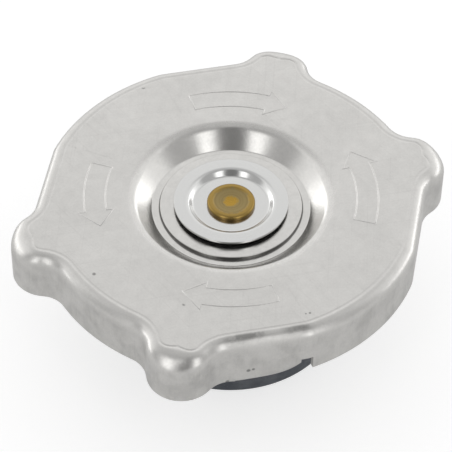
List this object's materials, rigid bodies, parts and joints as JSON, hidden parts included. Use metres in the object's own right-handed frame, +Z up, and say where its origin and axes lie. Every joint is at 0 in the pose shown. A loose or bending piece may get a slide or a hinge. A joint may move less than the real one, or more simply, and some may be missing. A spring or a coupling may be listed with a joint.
{
  "type": "radiator cap",
  "caption": "Pressed metal radiator pressure cap with finger lobes, twist-lock lugs, a sprung pressure valve with a rubber seal and a small vacuum valve.",
  "frame": {"origin": "on the axis of the cap, at the underside of the lower seal", "axes": "+Z up through the top face; +X between the two closer finger lobes"},
  "size_m": [0.073, 0.0704, 0.0305],
  "materials": {
    "shell_sheet": "satin",
    "washer_steel": "polished",
    "rivet_brass": "satin",
    "disc_steel": "satin",
    "gasket_rubber": "matte",
    "bell_steel": "satin",
    "spring_wire": "satin",
    "seal_rubber": "matte",
    "valve_brass": "satin"
  },
  "bodies": {
    "carrier": {"bell_housing": "bell_steel", "rivet": "rivet_brass", "top_washer": "washer_steel", "spring_disc": "disc_steel", "rim_gasket": "gasket_rubber", "pressure_spring": "spring_wire"},
    "cover": {"shell": "shell_sheet"},
    "pressure_valve": {"valve_cup": "bell_steel", "seal_plate": "bell_steel", "pressure_seal": "seal_rubber", "vacuum_spring": "spring_wire"},
    "vacuum_poppet": {"vacuum_valve": "valve_brass", "spring_keeper": "washer_steel"}
  },
  "joints": [
    {"name": "cover_turn", "type": "hinge", "parent": "carrier", "child": "cover", "pos_m": [0, 0, 0.0275], "axis": [0, 0, 1], "continuous": true},
    {"name": "pressure_lift", "type": "slide", "parent": "carrier", "child": "pressure_valve", "axis": [0, 0, 1], "range_m": [0, 0.004], "stiffness_N_per_m": 1500, "springref_m": -0.004, "deforming": ["pressure_spring"]},
    {"name": "vacuum_open", "type": "slide", "parent": "pressure_valve", "child": "vacuum_poppet", "axis": [0, 0, -1], "range_m": [0, 0.002], "stiffness_N_per_m": 100, "springref_m": -0.003, "deforming": ["vacuum_spring"]}
  ]
}
